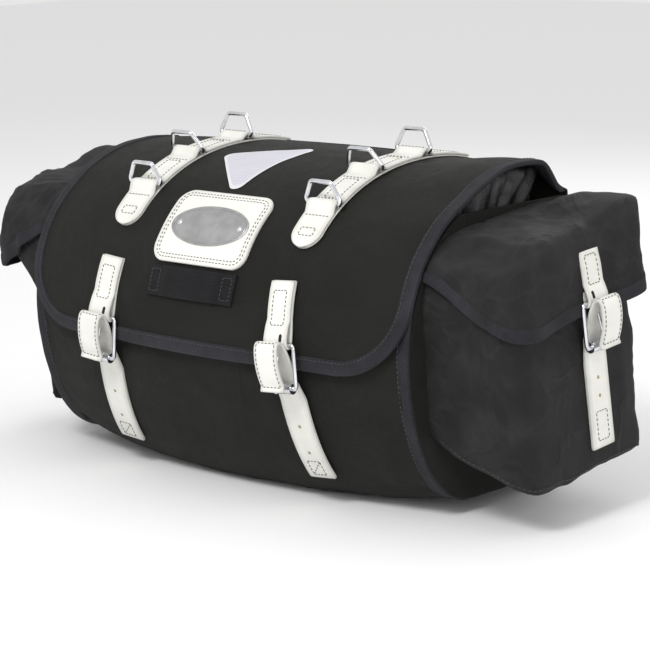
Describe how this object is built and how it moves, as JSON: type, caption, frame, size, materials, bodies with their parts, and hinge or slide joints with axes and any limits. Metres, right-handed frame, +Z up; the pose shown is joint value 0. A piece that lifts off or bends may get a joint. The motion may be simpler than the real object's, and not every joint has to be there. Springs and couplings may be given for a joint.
{
  "type": "saddlebag",
  "caption": "Transverse bicycle saddlebag with a curved strapped lid, a buckled flap pocket on each end, wire tie loops, saddle straps and a seatpost strap.",
  "frame": {"origin": "middle of the flat bottom of the main bag", "axes": "+X along the bag to its right-hand pocket as seen from the strap side, +Y to the bicycle, +Z up"},
  "size_m": [0.534, 0.239, 0.242],
  "materials": {
    "canvas": "waxed cotton duck",
    "pocket_canvas": "waxed cotton duck, creased",
    "binding": "folded cotton tape",
    "collar_nylon": "shiny coated nylon",
    "cord": "braided",
    "spring_wire": "bright",
    "cord_lock": "moulded",
    "dowel_wood": "planed beech",
    "plate": "brushed",
    "webbing": "woven nylon webbing",
    "reflector": "retroreflective film",
    "plated_wire": "nickel plated",
    "white_leather": "finished cowhide"
  },
  "bodies": {
    "bag": {"body_wrap": "canvas", "end_panel_left": "canvas", "end_panel_right": "canvas", "seam_binding": "binding", "storm_collar": "collar_nylon", "draw_cord": "cord", "cord_lock_barrel": "cord_lock", "cord_lock_spring": "spring_wire", "dowel": "dowel_wood", "slot_patches": "white_leather", "saddle_strap_left": "white_leather", "saddle_strap_right": "white_leather", "seatpost_strap": "white_leather", "front_billet_left": "white_leather", "front_billet_right": "white_leather", "pocket_shell_left": "pocket_canvas", "pocket_shell_right": "pocket_canvas", "pocket_billet_left": "white_leather", "pocket_billet_right": "white_leather"},
    "lid": {"lid_panel": "canvas", "lid_binding": "binding", "lid_strap_left": "white_leather", "lid_strap_right": "white_leather", "badge_patch": "white_leather", "badge_plate": "plate", "badge_rivets": "plated_wire", "light_loop": "webbing", "reflective_patch": "reflector", "front_chapes": "white_leather"},
    "pocket_flap_left": {"pocket_flap_left": "pocket_canvas", "pocket_chape_left": "white_leather"},
    "front_buckle_left": {"front_buckle_left": "plated_wire"},
    "front_roller_left": {"front_roller_left": "plated_wire"},
    "front_tongue_left": {"front_tongue_left": "plated_wire"},
    "pocket_buckle_left": {"pocket_buckle_left": "plated_wire"},
    "pocket_roller_left": {"pocket_roller_left": "plated_wire"},
    "pocket_tongue_left": {"pocket_tongue_left": "plated_wire"},
    "loop_left_front": {"loop_left_front": "plated_wire"},
    "loop_left_middle": {"loop_left_middle": "plated_wire"},
    "loop_left_rear": {"loop_left_rear": "plated_wire"},
    "saddle_buckle_left": {"saddle_buckle_left": "plated_wire"},
    "saddle_tongue_left": {"saddle_tongue_left": "plated_wire"},
    "pocket_flap_right": {"pocket_flap_right": "pocket_canvas", "pocket_chape_right": "white_leather"},
    "front_buckle_right": {"front_buckle_right": "plated_wire"},
    "front_roller_right": {"front_roller_right": "plated_wire"},
    "front_tongue_right": {"front_tongue_right": "plated_wire"},
    "pocket_buckle_right": {"pocket_buckle_right": "plated_wire"},
    "pocket_roller_right": {"pocket_roller_right": "plated_wire"},
    "pocket_tongue_right": {"pocket_tongue_right": "plated_wire"},
    "loop_right_front": {"loop_right_front": "plated_wire"},
    "loop_right_middle": {"loop_right_middle": "plated_wire"},
    "loop_right_rear": {"loop_right_rear": "plated_wire"},
    "saddle_buckle_right": {"saddle_buckle_right": "plated_wire"},
    "saddle_tongue_right": {"saddle_tongue_right": "plated_wire"},
    "seatpost_buckle": {"seatpost_buckle": "plated_wire"},
    "seatpost_tongue": {"seatpost_tongue": "plated_wire"},
    "cord_lock_plunger": {"cord_lock_plunger": "cord_lock"}
  },
  "joints": [
    {"name": "lid_hinge", "type": "hinge", "parent": "bag", "child": "lid", "pos_m": [0, 0.08, 0.211], "axis": [-1, 0, 0], "range_deg": [0, 110], "deforming": ["front_billet_left", "front_billet_right"]},
    {"name": "pocket_flap_left_hinge", "type": "hinge", "parent": "bag", "child": "pocket_flap_left", "pos_m": [-0.178, -0.00732, 0.18968], "axis": [0, 0.9962, 0.0872], "range_deg": [0, 85], "deforming": ["pocket_billet_left"]},
    {"name": "front_buckle_left_swing", "type": "hinge", "parent": "lid", "child": "front_buckle_left", "pos_m": [-0.084, -0.106, 0.114], "axis": [-0.9969, 0, 0.0785], "range_deg": [0, 60]},
    {"name": "front_tongue_left_swing", "type": "hinge", "parent": "front_buckle_left", "child": "front_tongue_left", "pos_m": [-0.084, -0.106, 0.114], "axis": [-0.9969, 0, 0.0785], "range_deg": [0, 100]},
    {"name": "front_roller_left_spin", "type": "hinge", "parent": "front_buckle_left", "child": "front_roller_left", "pos_m": [-0.08628, -0.106, 0.08509], "axis": [-0.9969, 0, 0.0785], "continuous": true},
    {"name": "pocket_buckle_left_swing", "type": "hinge", "parent": "pocket_flap_left", "child": "pocket_buckle_left", "pos_m": [-0.25342, 0.00864, 0.1449], "axis": [0, 0.9962, 0.0872], "range_deg": [0, 60]},
    {"name": "pocket_tongue_left_swing", "type": "hinge", "parent": "pocket_buckle_left", "child": "pocket_tongue_left", "pos_m": [-0.25342, 0.00864, 0.1449], "axis": [0, 0.9962, 0.0872], "range_deg": [0, 100]},
    {"name": "pocket_roller_left_spin", "type": "hinge", "parent": "pocket_buckle_left", "child": "pocket_roller_left", "pos_m": [-0.25507, 0.01117, 0.11606], "axis": [0, 0.9962, 0.0872], "continuous": true},
    {"name": "loop_left_front_swing", "type": "hinge", "parent": "lid", "child": "loop_left_front", "pos_m": [-0.084, -0.05933, 0.19992], "axis": [1, 0, 0], "range_deg": [-25, 90]},
    {"name": "loop_left_middle_swing", "type": "hinge", "parent": "lid", "child": "loop_left_middle", "pos_m": [-0.084, -0.01655, 0.21898], "axis": [1, 0, 0], "range_deg": [-60, 56]},
    {"name": "loop_left_rear_swing", "type": "hinge", "parent": "lid", "child": "loop_left_rear", "pos_m": [-0.084, 0.03153, 0.22509], "axis": [1, 0, 0], "range_deg": [-53, 66]},
    {"name": "saddle_buckle_left_swing", "type": "hinge", "parent": "bag", "child": "saddle_buckle_left", "pos_m": [-0.07, 0.0868, 0.1926], "axis": [1, 0, 0], "range_deg": [0, 60]},
    {"name": "saddle_tongue_left_swing", "type": "hinge", "parent": "saddle_buckle_left", "child": "saddle_tongue_left", "pos_m": [-0.07, 0.0868, 0.1926], "axis": [1, 0, 0], "range_deg": [0, 100]},
    {"name": "pocket_flap_right_hinge", "type": "hinge", "parent": "bag", "child": "pocket_flap_right", "pos_m": [0.178, -0.00732, 0.18968], "axis": [0, -0.9962, -0.0872], "range_deg": [0, 85], "deforming": ["pocket_billet_right"]},
    {"name": "front_buckle_right_swing", "type": "hinge", "parent": "lid", "child": "front_buckle_right", "pos_m": [0.084, -0.106, 0.114], "axis": [-0.9969, 0, -0.0785], "range_deg": [0, 60]},
    {"name": "front_tongue_right_swing", "type": "hinge", "parent": "front_buckle_right", "child": "front_tongue_right", "pos_m": [0.084, -0.106, 0.114], "axis": [-0.9969, 0, -0.0785], "range_deg": [0, 100]},
    {"name": "front_roller_right_spin", "type": "hinge", "parent": "front_buckle_right", "child": "front_roller_right", "pos_m": [0.08628, -0.106, 0.08509], "axis": [-0.9969, 0, -0.0785], "continuous": true},
    {"name": "pocket_buckle_right_swing", "type": "hinge", "parent": "pocket_flap_right", "child": "pocket_buckle_right", "pos_m": [0.25342, 0.00864, 0.1449], "axis": [0, -0.9962, -0.0872], "range_deg": [0, 60]},
    {"name": "pocket_tongue_right_swing", "type": "hinge", "parent": "pocket_buckle_right", "child": "pocket_tongue_right", "pos_m": [0.25342, 0.00864, 0.1449], "axis": [0, -0.9962, -0.0872], "range_deg": [0, 100]},
    {"name": "pocket_roller_right_spin", "type": "hinge", "parent": "pocket_buckle_right", "child": "pocket_roller_right", "pos_m": [0.25507, 0.01117, 0.11606], "axis": [0, -0.9962, -0.0872], "continuous": true},
    {"name": "loop_right_front_swing", "type": "hinge", "parent": "lid", "child": "loop_right_front", "pos_m": [0.084, -0.05933, 0.19992], "axis": [1, 0, 0], "range_deg": [-25, 90]},
    {"name": "loop_right_middle_swing", "type": "hinge", "parent": "lid", "child": "loop_right_middle", "pos_m": [0.084, -0.01655, 0.21898], "axis": [1, 0, 0], "range_deg": [-60, 56]},
    {"name": "loop_right_rear_swing", "type": "hinge", "parent": "lid", "child": "loop_right_rear", "pos_m": [0.084, 0.03153, 0.22509], "axis": [1, 0, 0], "range_deg": [-53, 66]},
    {"name": "saddle_buckle_right_swing", "type": "hinge", "parent": "bag", "child": "saddle_buckle_right", "pos_m": [0.07, 0.0868, 0.1926], "axis": [1, 0, 0], "range_deg": [0, 60]},
    {"name": "saddle_tongue_right_swing", "type": "hinge", "parent": "saddle_buckle_right", "child": "saddle_tongue_right", "pos_m": [0.07, 0.0868, 0.1926], "axis": [1, 0, 0], "range_deg": [0, 100]},
    {"name": "seatpost_buckle_swing", "type": "hinge", "parent": "bag", "child": "seatpost_buckle", "pos_m": [-0.004, 0.1155, 0.062], "axis": [0, 0, 1], "range_deg": [0, 60]},
    {"name": "seatpost_tongue_swing", "type": "hinge", "parent": "seatpost_buckle", "child": "seatpost_tongue", "pos_m": [-0.004, 0.1155, 0.062], "axis": [0, 0, 1], "range_deg": [0, 100]},
    {"name": "cord_lock_press", "type": "slide", "parent": "bag", "child": "cord_lock_plunger", "axis": [0, 0, -1], "range_m": [0, 0.0045], "stiffness_N_per_m": 200, "deforming": ["cord_lock_spring"]}
  ]
}
